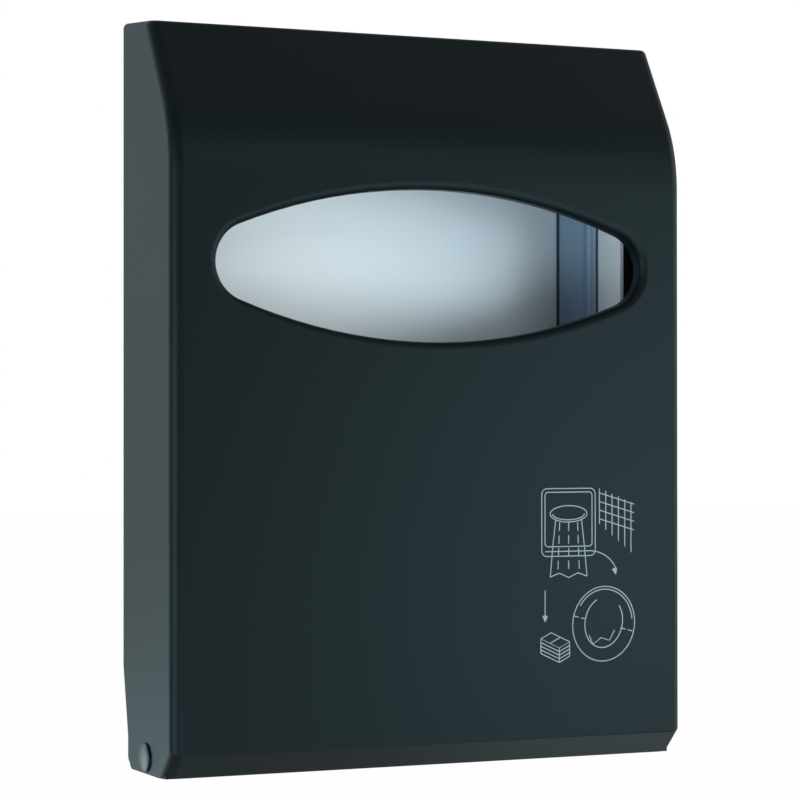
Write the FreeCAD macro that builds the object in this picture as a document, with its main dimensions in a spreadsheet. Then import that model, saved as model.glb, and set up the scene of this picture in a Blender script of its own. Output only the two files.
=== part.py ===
import FreeCAD, Part
import math
import os
import re
import Sketcher
from FreeCAD import Vector

# A wall dispenser for folded paper seat covers. X runs to the right as seen from the front,
# Y runs into the wall and Z runs up. The wall is the plane Y = 0, and the origin is the
# centre of the four wall screws. Heights below are measured from the cover's bottom edge.

SIZES = {
    # front cover, outer form
    "width": 228.0,
    "height": 303.0,            # bottom edge to the rear of the top wall
    "depth": 60.0,              # wall to the flat front
    "rear_gap": 1.5,            # wall to the cover's rear edge
    "datum_height": 155.0,      # bottom edge to the centre of the wall screws
    "cover_wall": 2.2,
    "top_depth": 31.3,          # rear edge to the front corner of the top wall
    "top_drop": 2.7,            # fall of the top wall over that depth
    "slope_corner": 48.2,       # top to the height where slope and front would meet
    "slope_blend": 60.0,        # radius between the slope and the front
    "corner_round": 5.0,        # upright corners
    "edge_round": 2.5,          # round the top wall
    "bevel_height": 9.6,
    "bevel_depth": 9.8,
    "crease_round": 1.2,
    "bottom_round": 1.6,
    "relief_height": 41.0,      # where the lower rear edge starts to lean forward
    "relief_depth": 8.5,
    "relief_round": 3.0,
    # opening in the front cover
    "opening_drop": 99.5,       # top of the cover to the middle of the opening
    "opening_length": 190.0,
    "opening_height": 62.0,
    "opening_end": 16.0,        # radius at each end of the oval
    "lip_roll": 3.4,            # radius of the rolled edge
    "lip_depth": 7.5,           # flat front to the rear of the lip
    "lip_wall": 2.2,
    # hinge
    "hinge_height": 6.5,
    "hinge_offset": 29.0,       # wall to the hinge axis
    "pin_diameter": 6.0,
    "pin_fit": 0.05,            # radial clearance of the pin in its bores
    "pin_head": 11.7,
    "pin_rise": 1.5,            # height of the head
    "pin_rim": 0.9,             # height of the head at its rim
    "ear_wall": 5.0,
    "ear_nose": 5.2,            # material round the pin
    "ear_top": 48.0,
    "ear_shoulder": 12.0,       # depth of the ear at its top
    "ear_round": 3.0,
    "side_gap": 0.3,            # ear to the cover's side wall
    "lip_short": 2.9,           # hinge axis to the end of the cover's bottom wall
    "notch_length": 10.5,       # the same beside the ears
    "notch_gap": 0.3,
    # wall plate
    "plate_wall": 2.5,
    "plate_inset": 2.0,         # cover's side wall to the edge of the plate
    "plate_top_gap": 3.0,       # cover's top wall to the edge of the plate
    "plate_foot": 4.6,          # bottom edge of the cover to the foot of the plate
    "plate_round": 6.0,
    "rim_rise": 8.0,
    "rim_wall": 2.0,
    "rim_break": 32.0,          # gap in the top rim for the lock
    "shelf_height": 7.5,        # underside of the shelf that carries the tray
    "shelf_wall": 2.2,
    "shelf_reach": 36.0,        # wall to the front edge of the shelf
    "screw_hole": 5.2,
    "screw_spacing_across": 120.0,
    "screw_spacing_up": 200.0,
    # paper tray
    "tray_gap": 0.7,            # inner face of the ear to the tray's side
    "tray_wall": 1.5,
    "tray_rise": 20.3,          # side walls above the tray's floor
    "tray_drop": 27.0,          # top of the cover to the tray's top edge
    "tray_reach": 38.0,         # wall to the front of the retaining lip
    "retainer_height": 16.0,
    "cheek_height": 40.0,
    "finger_notch": 36.0,
    "tray_round": 1.0,
    "tray_hole_fit": 0.3,       # round the wall screws
    "groove_inset": 19.5,       # inner face of the tray's side to the groove
    "groove_width": 2.0,
    "groove_depth": 0.8,
    "ridge_inset": 5.2,         # inner face of the tray's side to the ridge
    "ridge_width": 3.0,
    "ridge_rise": 0.8,
    "clip_spacing": 120.0,      # between the two clips that hold the tray's top edge
    "clip_width": 10.0,
    "clip_wall": 2.0,
    "clip_hold": 1.4,           # overlap of the clip on the tray
    "clip_gap": 0.2,
    # lock in the top wall
    "lock_offset": 18.0,        # wall to the lock's axis
    "lock_sink": 4.0,           # top of the cover to the seat of the lock's flange
    "lock_recess": 19.6,
    "lock_flange": 19.0,
    "lock_flange_height": 1.6,
    "boss_diameter": 24.0,
    "boss_wall": 3.0,
    "barrel_diameter": 12.0,
    "barrel_flats": 10.6,
    "barrel_fit": 0.1,
    "barrel_length": 15.0,
    "nut_flats": 15.0,
    "nut_height": 4.0,
    "plug_diameter": 8.5,
    "plug_head": 11.0,
    "plug_head_height": 1.4,
    "plug_fit": 0.05,
    "plug_play": 0.1,           # end play of the plug
    "plug_square": 5.5,
    "keyway_length": 4.6,
    "keyway_width": 1.8,
    "keyway_depth": 12.0,
    "cam_reach": 13.5,
    "cam_width": 8.0,
    "cam_hub": 11.0,
    "cam_thickness": 1.5,
    "cam_fit": 0.05,
    "cam_screw_head": 9.0,
    "cam_screw_head_height": 2.0,
    "cam_screw_slot": 1.2,
    "cam_screw_diameter": 3.0,
    "cam_screw_length": 4.2,
    # keeper on the wall plate
    "keeper_wall": 1.5,
    "keeper_side": 17.0,        # middle of the lock to the near edge of the keeper's foot
    "keeper_width": 16.0,
    "keeper_gap": 1.0,          # play round the locked arm
    "keeper_reach": 8.5,        # middle of the lock to the near edge of the hook
    "keeper_hook": 15.5,        # width of the hook
    "keeper_lip": 5.0,
    "keeper_rise": 12.0,        # shelf to the top of the foot
    "keeper_pad_rise": 4.0,
    "keeper_pad_border": 1.2,
    "keeper_pad_gap": 0.1,
    "keeper_bend": 1.0,
    "keeper_screw_diameter": 3.0,
    "keeper_screw_fit": 0.05,
    "keeper_screw_length": 5.0,
    "keeper_screw_head": 5.6,
    "keeper_screw_head_height": 1.8,
    "keeper_screw_slot": 0.9,
    # rubber buffers
    "buffer_inset": 17.8,       # side of the plate to the middle of the buffer
    "buffer_drop": 16.0,        # top of the cover to the middle of the buffer
    "buffer_diameter": 9.0,
    "buffer_rise": 3.2,
    "buffer_boss": 11.0,
    "buffer_boss_rise": 5.0,
    "buffer_gap": 0.3,
    "stop_below": 3.5,          # middle of the buffer to the lower edge of the cover's rib
    "stop_wall": 2.4,
}

doc = FreeCAD.newDocument("seat_cover_dispenser")
sheet = doc.addObject("Spreadsheet::Sheet", "Sizes")
for row, (alias, value) in enumerate(SIZES.items(), 1):
    sheet.set("A%d" % row, alias)
    sheet.set("B%d" % row, str(value))
    sheet.setAlias("B%d" % row, alias)
doc.recompute()

# Places that several pieces share, as expressions on the sizes
EAR_FACE = "(width / 2 - cover_wall - side_gap)"
EAR_INNER = "(%s - ear_wall)" % EAR_FACE
PLATE_SIDE = "(width / 2 - cover_wall - plate_inset)"
PLATE_TOP = "(height - cover_wall - plate_top_gap)"
SHELF_TOP = "(shelf_height + shelf_wall)"
TRAY_FLOOR = "(plate_wall + tray_wall)"
TRAY_SIDE = "(%s - tray_gap)" % EAR_INNER
TRAY_INSIDE = "(%s - tray_gap - tray_wall)" % EAR_INNER
TRAY_TOP = "(height - tray_drop)"
OPENING_MIDDLE = "(height - opening_drop)"
LOCK_SEAT = "(height - lock_sink)"
LOCK_TOP = "(height - lock_sink + lock_flange_height)"
BOSS_FOOT = "(height - lock_sink - boss_wall)"
BARREL_FOOT = "(height - lock_sink - barrel_length)"
CAM_TOP = "(height - lock_sink - barrel_length - plug_play)"
CAM_FOOT = "(height - lock_sink - barrel_length - plug_play - cam_thickness)"
TAB_TOP = "(height - lock_sink - barrel_length - plug_play - cam_thickness - keeper_gap)"
KEEPER_BACK = "(plate_wall + keeper_pad_rise)"
KEEPER_SCREW = "(%s + keeper_rise / 2)" % TAB_TOP
KEEPER_TOP = "(%s + keeper_rise)" % TAB_TOP
BUFFER_PLACE = "(%s - buffer_inset)" % PLATE_SIDE
BUFFER_HEIGHT = "(height - buffer_drop)"
BUFFER_FACE = "(plate_wall + buffer_boss_rise + buffer_rise)"
OVAL_RADIUS = ("(((opening_length / 2 - opening_end)^2 + (opening_height / 2)^2 - opening_end^2)"
               " / (opening_height - 2 * opening_end))")


def bound(text):
    """The expression with each size's name turned into its cell."""
    def cell(word):
        name = word.group(0)
        return "Sizes." + name if name in SIZES else name
    return re.sub(r"[a-z]+(?:_[a-z]+)*", cell, str(text))


def up(height):
    """A height above the cover's bottom edge, as a Z in the part's frame."""
    return "(%s - datum_height)" % height


def start_body(label):
    body = doc.addObject("PartDesign::Body", label)
    body.Label = label
    return body


def start_sketch(body, name, role, offset="0"):
    """A sketch on one of the body's origin planes, moved along that plane's normal.

    XY_Plane: local x, y are X, Y and the normal is +Z. XZ_Plane: local x, y are X, Z and the
    normal is -Y, towards the front. YZ_Plane: local x, y are Y, Z and the normal is +X."""
    sketch = body.newObject("Sketcher::SketchObject", name)
    plane = next(f for f in body.Origin.OriginFeatures if f.Role == role)
    sketch.AttachmentSupport = (plane, "")
    sketch.MapMode = "FlatFace"
    sketch.setExpression("AttachmentOffset.Base.z", bound(offset))
    return sketch


def place_point(sketch, geometry, position, across, upward):
    """Ties one point of the sketch to two distances from the sketch's origin."""
    spot = sketch.getPoint(geometry, position)
    for kind, start, text in (("DistanceX", spot.x, across), ("DistanceY", spot.y, upward)):
        number = sketch.addConstraint(Sketcher.Constraint(kind, -1, 1, geometry, position, start))
        sketch.setExpression("Constraints[%d]" % number, bound(text))


def outline(sketch, corners):
    """A closed outline of straight edges through corners given as pairs of expressions."""
    count = len(corners)
    first = sketch.GeometryCount
    spots = [Vector(math.cos(2 * math.pi * i / count), math.sin(2 * math.pi * i / count), 0)
             for i in range(count)]
    for i in range(count):
        sketch.addGeometry(Part.LineSegment(spots[i], spots[(i + 1) % count]))
    for i in range(count):
        following = first + (i + 1) % count
        sketch.addConstraint(Sketcher.Constraint("Coincident", first + i, 2, following, 1))
    for i, (across, upward) in enumerate(corners):
        place_point(sketch, first + i, 1, across, upward)


def rectangle(sketch, left, low, right, high):
    outline(sketch, [(left, low), (right, low), (right, high), (left, high)])


def circle(sketch, across, upward, diameter):
    number = sketch.addGeometry(Part.Circle(Vector(0, 0, 0), Vector(0, 0, 1), 1.0))
    place_point(sketch, number, 3, across, upward)
    size = sketch.addConstraint(Sketcher.Constraint("Diameter", number, 2.0))
    sketch.setExpression("Constraints[%d]" % size, bound(diameter))


def arc_between(centre, radius, first, last):
    """A starting arc for the solver, with its angles in degrees."""
    ring = Part.Circle(Vector(centre[0], centre[1], 0), Vector(0, 0, 1), radius)
    return Part.ArcOfCircle(ring, math.radians(first), math.radians(last))


def oval(sketch, grow):
    """The opening's outline of four tangent arcs, grown outwards by an expression."""
    end = SIZES["opening_end"]
    rise = SIZES["opening_height"] / 2
    spread = SIZES["opening_length"] / 2 - end
    radius = (spread**2 + rise**2 - end**2) / 2 / (rise - end)
    middle = z_of(SIZES["height"] - SIZES["opening_drop"])
    turn = math.degrees(math.atan2(radius - rise, spread))
    sketch.addGeometry(arc_between((0, middle - radius + rise), radius, turn, 180 - turn))
    sketch.addGeometry(arc_between((-spread, middle), end, 180 - turn, 180 + turn))
    sketch.addGeometry(arc_between((0, middle + radius - rise), radius, 180 + turn, 360 - turn))
    sketch.addGeometry(arc_between((spread, middle), end, -turn, turn))
    for i in range(4):
        sketch.addConstraint(Sketcher.Constraint("Tangent", i, 2, (i + 1) % 4, 1))
    for i in range(4):
        text = OVAL_RADIUS if i in (0, 2) else "opening_end"
        size = sketch.addConstraint(Sketcher.Constraint("Radius", i, radius if i in (0, 2) else end))
        sketch.setExpression("Constraints[%d]" % size, bound("%s + %s" % (text, grow)))
    for i, sign in ((0, "-"), (2, "+")):
        centre = "%s %s (%s - opening_height / 2)" % (up(OPENING_MIDDLE), sign, OVAL_RADIUS)
        place_point(sketch, i, 3, "0", centre)


def double_flat(sketch, upward, diameter, flats):
    """A round outline on the middle line with two flats that face along Y."""
    middle = -SIZES["lock_offset"]
    rough = SIZES["barrel_diameter"] / 2
    tip = math.asin(SIZES["barrel_flats"] / SIZES["barrel_diameter"])
    across = rough * math.cos(tip)
    rise = rough * math.sin(tip)
    tip = math.degrees(tip)
    sketch.addGeometry(Part.LineSegment(Vector(across, middle + rise, 0),
                                        Vector(-across, middle + rise, 0)))
    sketch.addGeometry(arc_between((0, middle), rough, 180 - tip, 180 + tip))
    sketch.addGeometry(Part.LineSegment(Vector(-across, middle - rise, 0),
                                        Vector(across, middle - rise, 0)))
    sketch.addGeometry(arc_between((0, middle), rough, -tip, tip))
    for i in range(4):
        sketch.addConstraint(Sketcher.Constraint("Coincident", i, 2, (i + 1) % 4, 1))
    for i in (0, 2):
        sketch.addConstraint(Sketcher.Constraint("Horizontal", i))
    for i in (1, 3):
        size = sketch.addConstraint(Sketcher.Constraint("Radius", i, rough))
        sketch.setExpression("Constraints[%d]" % size, bound("%s / 2" % diameter))
    place_point(sketch, 1, 3, "0", upward)
    sketch.addConstraint(Sketcher.Constraint("Coincident", 1, 3, 3, 3))
    for i, sign in ((0, "+"), (2, "-")):
        level = sketch.addConstraint(Sketcher.Constraint("DistanceY", -1, 1, i, 1, 1.0))
        sketch.setExpression("Constraints[%d]" % level,
                             bound("%s %s %s / 2" % (upward, sign, flats)))


def finish_feature(body, feature):
    body.Tip = feature
    doc.recompute()
    return feature


def pad(body, sketch, length, symmetric=False, back=False):
    """Adds material along the sketch's normal, against it, or to both sides."""
    feature = body.newObject("PartDesign::Pad", sketch.Name + "_pad")
    feature.Profile = sketch
    feature.SideType = "Symmetric" if symmetric else "One side"
    feature.Reversed = back
    feature.setExpression("Length", bound(length))
    return finish_feature(body, feature)


def pad_to_wall(body, sketch):
    """Adds material along the normal until it meets the first face in its way."""
    feature = body.newObject("PartDesign::Pad", sketch.Name + "_pad")
    feature.Profile = sketch
    feature.Type = "UpToFirst"
    return finish_feature(body, feature)


def pocket(body, sketch, length=None, symmetric=False, along=False):
    """A cut against the sketch's normal, or along it; with no length it goes right through."""
    before = body.Tip.Shape.Volume
    feature = body.newObject("PartDesign::Pocket", sketch.Name + "_pocket")
    feature.Profile = sketch
    feature.SideType = "Symmetric" if symmetric else "One side"
    feature.Reversed = along
    if length is None:
        feature.Type = "ThroughAll"
    else:
        feature.setExpression("Length", bound(length))
    finish_feature(body, feature)
    if feature.Shape.Volume >= before:
        raise RuntimeError("%s cuts nothing" % feature.Name)
    return feature


def axis_line(sketch, across, upward, level):
    """A construction line through one point of the sketch, level or upright."""
    end = Vector(1, 0, 0) if level else Vector(0, 1, 0)
    line = sketch.addGeometry(Part.LineSegment(Vector(0, 0, 0), end), True)
    place_point(sketch, line, 1, across, upward)
    kind = "Horizontal" if level else "Vertical"
    sketch.addConstraint(Sketcher.Constraint(kind, line))
    length = "DistanceX" if level else "DistanceY"
    sketch.addConstraint(Sketcher.Constraint(length, line, 1, line, 2, 1.0))


def revolve(body, sketch):
    """Turns the sketch's profile round its own construction line."""
    feature = body.newObject("PartDesign::Revolution", sketch.Name + "_turn")
    feature.Profile = sketch
    feature.ReferenceAxis = (sketch, ["Axis0"])
    feature.Angle = 360.0
    return finish_feature(body, feature)


def origin_item(body, role):
    return next(f for f in body.Origin.OriginFeatures if f.Role == role)


def mirror(body, originals=None):
    """Repeats features, or the whole shape, on the other side of the middle plane."""
    feature = body.newObject("PartDesign::Mirrored", body.Name + "_mirror")
    if originals:
        feature.Originals = originals
    else:
        feature.TransformMode = "Whole shape"
    feature.MirrorPlane = (origin_item(body, "YZ_Plane"), [""])
    return finish_feature(body, feature)


def normal(face):
    """The face's outward direction at the middle of its parameters."""
    low_u, high_u, low_v, high_v = face.ParameterRange
    return face.normalAt((low_u + high_u) / 2, (low_v + high_v) / 2)


def edges_between(shape, first, second):
    """Names of the edges where a face that passes one test meets one that passes the other."""
    names = []
    for number, edge in enumerate(shape.Edges, 1):
        faces = shape.ancestorsOfType(edge, Part.Face)
        if len(faces) != 2:
            continue
        one, other = faces
        if (first(one) and second(other)) or (first(other) and second(one)):
            names.append("Edge%d" % number)
    return names


def middle_of(edge):
    return edge.valueAt((edge.FirstParameter + edge.LastParameter) / 2)


def heading(edge):
    return edge.tangentAt((edge.FirstParameter + edge.LastParameter) / 2)


def edges_at(shape, test):
    """Names of the edges whose middle point and direction there pass the test."""
    return ["Edge%d" % number for number, edge in enumerate(shape.Edges, 1)
            if not edge.Degenerated and test(middle_of(edge), heading(edge))]


def round_edges(body, name, edges, radius):
    if not edges:
        raise RuntimeError("%s finds no edge" % name)
    base = body.Tip
    feature = body.newObject("PartDesign::Fillet", name)
    feature.Base = (base, edges)
    feature.setExpression("Radius", bound(radius))
    return finish_feature(body, feature)


def hollow(body, name, faces, wall):
    """Turns the body into a shell with the given faces left open."""
    base = body.Tip
    feature = body.newObject("PartDesign::Thickness", name)
    feature.Base = (base, faces)
    feature.Mode = "Skin"
    feature.Join = "Arc"
    feature.Reversed = True
    feature.setExpression("Value", bound(wall))
    return finish_feature(body, feature)


def z_of(height):
    """A plain height above the bottom edge as a plain Z, for the tests that pick edges."""
    return height - SIZES["datum_height"]


def cover_form(body):
    """The closed block of the cover with its rolled front slope."""
    profile = start_sketch(body, "side_profile", "YZ_Plane")
    outline(profile, [("-rear_gap", up("0")),
                      ("-rear_gap", up("height")),
                      ("-(rear_gap + top_depth)", up("(height - top_drop)")),
                      ("-depth", up("(height - slope_corner)")),
                      ("-depth", up("bevel_height")),
                      ("-(depth - bevel_depth)", up("0"))])
    pad(body, profile, "width", symmetric=True)
    bend = z_of(SIZES["height"] - SIZES["slope_corner"])
    edges = edges_at(body.Tip.Shape, lambda p, t: abs(t.x) > 0.99 and abs(p.z - bend) < 0.01
                     and abs(p.y + SIZES["depth"]) < 0.01)
    round_edges(body, "slope_blend_round", edges, "slope_blend")


def cover_shell(body):
    """The block hollowed from behind and below, with its corners rounded on both sides."""
    open_faces = ["Face%d" % i for i, face in enumerate(body.Tip.Shape.Faces, 1)
                  if normal(face).y > 0.99 or normal(face).z < -0.99]
    hollow(body, "shell", open_faces, "cover_wall")

    def side(face):
        return abs(normal(face).x) > 0.99

    def outer_front(face):
        return normal(face).y < -0.3

    def inner_front(face):
        return normal(face).y > 0.3 and face.BoundBox.YMax < -SIZES["top_depth"] / 2

    edges = edges_between(body.Tip.Shape, side, outer_front)
    round_edges(body, "corner_outside", edges, "corner_round")
    edges = edges_between(body.Tip.Shape, side, inner_front)
    round_edges(body, "corner_inside", edges, "corner_round - cover_wall")


def cover_edges(body):
    """Small roundings round the top wall, the bevel and the bottom."""
    half = SIZES["width"] / 2 - SIZES["corner_round"] - 0.1
    bevel = z_of(SIZES["bevel_height"])
    edges = edges_at(body.Tip.Shape, lambda p, t: abs(p.z - bevel) < 0.01 and abs(p.x) < half
                     and abs(p.y + SIZES["depth"]) < 0.01)
    round_edges(body, "crease", edges, "crease_round")
    edges = edges_at(body.Tip.Shape, lambda p, t: abs(p.z - z_of(0)) < 0.01 and abs(p.x) < half
                     and abs(p.y + SIZES["depth"] - SIZES["bevel_depth"]) < 0.01)
    round_edges(body, "bottom_front", edges, "bottom_round")

    def top(face):
        return normal(face).z > 0.9 and face.CenterOfMass.z > 0

    def outside(face):
        return normal(face).z < 0.9 and normal(face).y < 0.5

    edges = edges_between(body.Tip.Shape, top, outside)
    round_edges(body, "top_edges", edges, "edge_round")


def cover_bottom(body):
    """A short bottom wall behind the bevel, notched beside the hinge ears."""
    notch = "-(hinge_offset + notch_length)"
    inside = "(width / 2 - cover_wall / 2)"
    front = "-(depth - bevel_depth - cover_wall / 2)"
    lip = start_sketch(body, "bottom_lip", "XY_Plane", up("0"))
    outline(lip, [("-" + inside, front),
                  (inside, front),
                  (inside, notch),
                  ("%s - notch_gap" % EAR_INNER, notch),
                  ("%s - notch_gap" % EAR_INNER, "-(hinge_offset + lip_short)"),
                  ("-(%s - notch_gap)" % EAR_INNER, "-(hinge_offset + lip_short)"),
                  ("-(%s - notch_gap)" % EAR_INNER, notch),
                  ("-" + inside, notch)])
    pad(body, lip, "cover_wall")


def cover_relief(body):
    """The lower rear edges, which lean forward so that the cover can swing down."""
    relief = start_sketch(body, "lower_relief", "YZ_Plane")
    outline(relief, [("-rear_gap", up("relief_height")),
                     ("-(rear_gap + relief_depth)", up("0")),
                     ("-rear_gap", up("0"))])
    pocket(body, relief, symmetric=True)
    edges = edges_at(body.Tip.Shape, lambda p, t: abs(t.x) > 0.99 and abs(p.z - z_of(0)) < 0.01
                     and abs(p.x) > SIZES["width"] / 2 - 2 * SIZES["cover_wall"]
                     and p.y > -SIZES["rear_gap"] - SIZES["relief_depth"] - 0.5)
    round_edges(body, "lower_rear_corners", edges, "relief_round")


def cover_opening(body):
    """The long oval opening with a lip that rolls inwards from the flat front."""
    ring = start_sketch(body, "lip_outside", "XZ_Plane", "depth - lip_depth")
    oval(ring, "lip_wall")
    pad(body, ring, "lip_depth - cover_wall / 2")
    hole = start_sketch(body, "lip_inside", "XZ_Plane", "depth - lip_depth")
    oval(hole, "0")
    pocket(body, hole, "lip_depth + cover_wall", along=True)
    middle = z_of(SIZES["height"] - SIZES["opening_drop"])
    reach = SIZES["opening_height"] / 2 + 0.1
    edges = edges_at(body.Tip.Shape, lambda p, t: abs(p.y + SIZES["depth"]) < 0.01
                     and abs(p.z - middle) < reach and abs(p.x) < SIZES["opening_length"] / 2 + 0.1)
    round_edges(body, "lip_roll_round", edges, "lip_roll")


def cover_lock_seat(body):
    """The round recess in the top wall with a thick floor that carries the lock."""
    lock = "-lock_offset"
    boss = start_sketch(body, "lock_boss", "XY_Plane", up(BOSS_FOOT))
    circle(boss, "0", lock, "boss_diameter")
    pad_to_wall(body, boss)
    recess = start_sketch(body, "lock_recess_edge", "XY_Plane", up(LOCK_SEAT))
    circle(recess, "0", lock, "lock_recess")
    pocket(body, recess, "lock_sink + cover_wall", along=True)
    hole = start_sketch(body, "lock_hole", "XY_Plane", up(BOSS_FOOT))
    double_flat(hole, lock, "(barrel_diameter + 2 * barrel_fit)", "(barrel_flats + 2 * barrel_fit)")
    pocket(body, hole, "boss_wall + 1", along=True)


def cover_details(body):
    """Holes for the hinge pins, and the ribs that meet the buffers."""
    holes = start_sketch(body, "pin_holes", "YZ_Plane")
    circle(holes, "-hinge_offset", up("hinge_height"), "(pin_diameter + 2 * pin_fit)")
    pocket(body, holes, symmetric=True)
    rib = start_sketch(body, "stop_rib", "YZ_Plane", BUFFER_PLACE)
    rear = "-(%s + buffer_gap)" % BUFFER_FACE
    corner = "(rear_gap + top_depth)"
    low = "(%s - stop_below)" % BUFFER_HEIGHT
    slope = ("(height - top_drop - %s) * (depth - %s) / (slope_corner - top_drop)"
             % (low, corner))
    outline(rib, [(rear, up(low)),
                  (rear, up("(height - top_drop / 3 - cover_wall / 2)")),
                  ("-(%s - cover_wall / 2)" % corner, up("(height - top_drop - cover_wall / 2)")),
                  ("-(%s + %s - cover_wall / 2)" % (corner, slope), up(low))])
    right = pad(body, rib, "stop_wall", symmetric=True)
    mirror(body, [right])


def make_front_cover():
    body = start_body("front_cover")
    cover_form(body)
    cover_shell(body)
    cover_bottom(body)
    cover_edges(body)
    cover_opening(body)
    cover_relief(body)
    cover_lock_seat(body)
    cover_details(body)
    return body


def plate_ears(body):
    """Two ears that reach forward to the hinge pins."""
    ear = start_sketch(body, "ear_profile", "YZ_Plane", EAR_INNER)
    nose = SIZES["ear_nose"]
    middle = Vector(-SIZES["hinge_offset"], z_of(SIZES["hinge_height"]), 0)
    low = Vector(0, middle.y - nose, 0)
    top = z_of(SIZES["ear_top"])
    crest = Vector(-SIZES["ear_shoulder"], top, 0)
    turn = 150.0
    away = Vector(nose * math.cos(math.radians(turn)), nose * math.sin(math.radians(turn)), 0)
    ear.addGeometry(Part.LineSegment(low, Vector(0, top, 0)))
    ear.addGeometry(Part.LineSegment(Vector(0, top, 0), crest))
    ear.addGeometry(Part.LineSegment(crest, middle + away))
    ear.addGeometry(arc_between((middle.x, middle.y), nose, turn, 270))
    ear.addGeometry(Part.LineSegment(Vector(middle.x, low.y, 0), low))
    ear.addConstraint(Sketcher.Constraint("Coincident", 0, 2, 1, 1))
    ear.addConstraint(Sketcher.Constraint("Coincident", 1, 2, 2, 1))
    ear.addConstraint(Sketcher.Constraint("Coincident", 4, 2, 0, 1))
    ear.addConstraint(Sketcher.Constraint("Tangent", 2, 2, 3, 1))
    ear.addConstraint(Sketcher.Constraint("Tangent", 3, 2, 4, 1))
    ear.addConstraint(Sketcher.Constraint("Horizontal", 4))
    ear.addConstraint(Sketcher.Constraint("Vertical", 0))
    place_point(ear, 0, 2, "0", up("ear_top"))
    place_point(ear, 1, 2, "-ear_shoulder", up("ear_top"))
    place_point(ear, 3, 3, "-hinge_offset", up("hinge_height"))
    size = ear.addConstraint(Sketcher.Constraint("Radius", 3, nose))
    ear.setExpression("Constraints[%d]" % size, bound("ear_nose"))
    right = pad(body, ear, "ear_wall")
    mirror(body, [right])
    holes = start_sketch(body, "pin_bores", "YZ_Plane")
    circle(holes, "-hinge_offset", up("hinge_height"), "(pin_diameter + 2 * pin_fit)")
    pocket(body, holes, symmetric=True)


def make_wall_plate():
    body = start_body("wall_plate")
    sheet_outline = start_sketch(body, "plate_outline", "XZ_Plane")
    rectangle(sheet_outline, "-" + PLATE_SIDE, up("plate_foot"), PLATE_SIDE, up(PLATE_TOP))
    pad(body, sheet_outline, "plate_wall")
    rim = start_sketch(body, "rim_outline", "XZ_Plane", "plate_wall")
    inner = "(%s - rim_wall)" % PLATE_SIDE
    low = up("ear_top")
    outline(rim, [(PLATE_SIDE, low), (PLATE_SIDE, up(PLATE_TOP)), ("rim_break / 2", up(PLATE_TOP)),
                  ("rim_break / 2", up("(%s - rim_wall)" % PLATE_TOP)),
                  (inner, up("(%s - rim_wall)" % PLATE_TOP)), (inner, low)])
    right = pad(body, rim, "rim_rise")
    mirror(body, [right])
    top = z_of(SIZES["height"] - SIZES["cover_wall"] - SIZES["plate_top_gap"])
    half = SIZES["width"] / 2 - SIZES["cover_wall"] - SIZES["plate_inset"]
    edges = edges_at(body.Tip.Shape, lambda p, t: abs(t.y) > 0.99 and abs(p.z - top) < 0.01
                     and abs(abs(p.x) - half) < 0.01)
    round_edges(body, "plate_corners", edges, "plate_round")
    wall = SIZES["rim_wall"]
    edges = edges_at(body.Tip.Shape, lambda p, t: abs(t.y) > 0.99
                     and abs(p.z - top + wall) < 0.01 and abs(abs(p.x) - half + wall) < 0.01)
    round_edges(body, "rim_corners", edges, "plate_round - rim_wall")
    shelf = start_sketch(body, "shelf_profile", "YZ_Plane")
    rectangle(shelf, "-shelf_reach", up("shelf_height"), "0", up(SHELF_TOP))
    pad(body, shelf, "2 * %s" % EAR_INNER, symmetric=True)
    plate_ears(body)
    edges = edges_at(body.Tip.Shape, lambda p, t: abs(t.x) > 0.99 and abs(p.y) < 0.01
                     and abs(p.z - z_of(SIZES["hinge_height"] - SIZES["ear_nose"])) < 0.01)
    round_edges(body, "ear_heels", edges, "ear_round")
    plate_raised_parts(body)
    plate_holes(body)
    return body


def plate_raised_parts(body):
    """Bosses for the buffers, the pad under the keeper and two clips for the tray."""
    bosses = start_sketch(body, "buffer_bosses", "XZ_Plane", "plate_wall")
    for across in ("-", ""):
        circle(bosses, across + BUFFER_PLACE, up(BUFFER_HEIGHT), "buffer_boss")
    pad(body, bosses, "buffer_boss_rise")
    left = "keeper_side - keeper_pad_border"
    right = "keeper_side + keeper_width + keeper_pad_border"
    top = up("(%s + keeper_pad_gap + keeper_pad_border)" % KEEPER_TOP)
    block = start_sketch(body, "keeper_pad", "XZ_Plane", "plate_wall")
    rectangle(block, left, up("(%s - keeper_wall)" % TAB_TOP), right, top)
    pad(body, block, "keeper_pad_rise")
    ledge = start_sketch(body, "keeper_ledge", "XZ_Plane", KEEPER_BACK)
    rectangle(ledge, left, up("(%s + keeper_pad_gap)" % KEEPER_TOP), right, top)
    pad(body, ledge, "keeper_wall")
    clip = start_sketch(body, "clip_profile", "YZ_Plane", "clip_spacing / 2")
    nose = "-(%s + clip_gap + clip_wall)" % TRAY_FLOOR
    outline(clip, [("-plate_wall", up("(%s + clip_gap)" % TRAY_TOP)),
                   ("-plate_wall", up("(%s + clip_gap + 2 * clip_wall)" % TRAY_TOP)),
                   (nose, up("(%s + clip_gap)" % TRAY_TOP)),
                   (nose, up("(%s - clip_hold)" % TRAY_TOP)),
                   ("-(%s + clip_gap)" % TRAY_FLOOR, up("(%s - clip_hold)" % TRAY_TOP)),
                   ("-(%s + clip_gap)" % TRAY_FLOOR, up("(%s + clip_gap)" % TRAY_TOP))])
    right_clip = pad(body, clip, "clip_width", symmetric=True)
    mirror(body, [right_clip])


def screw_circles(sketch, diameter):
    for across in ("-", ""):
        for upward in ("-", ""):
            circle(sketch, across + "screw_spacing_across / 2",
                   upward + "screw_spacing_up / 2", diameter)


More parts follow.
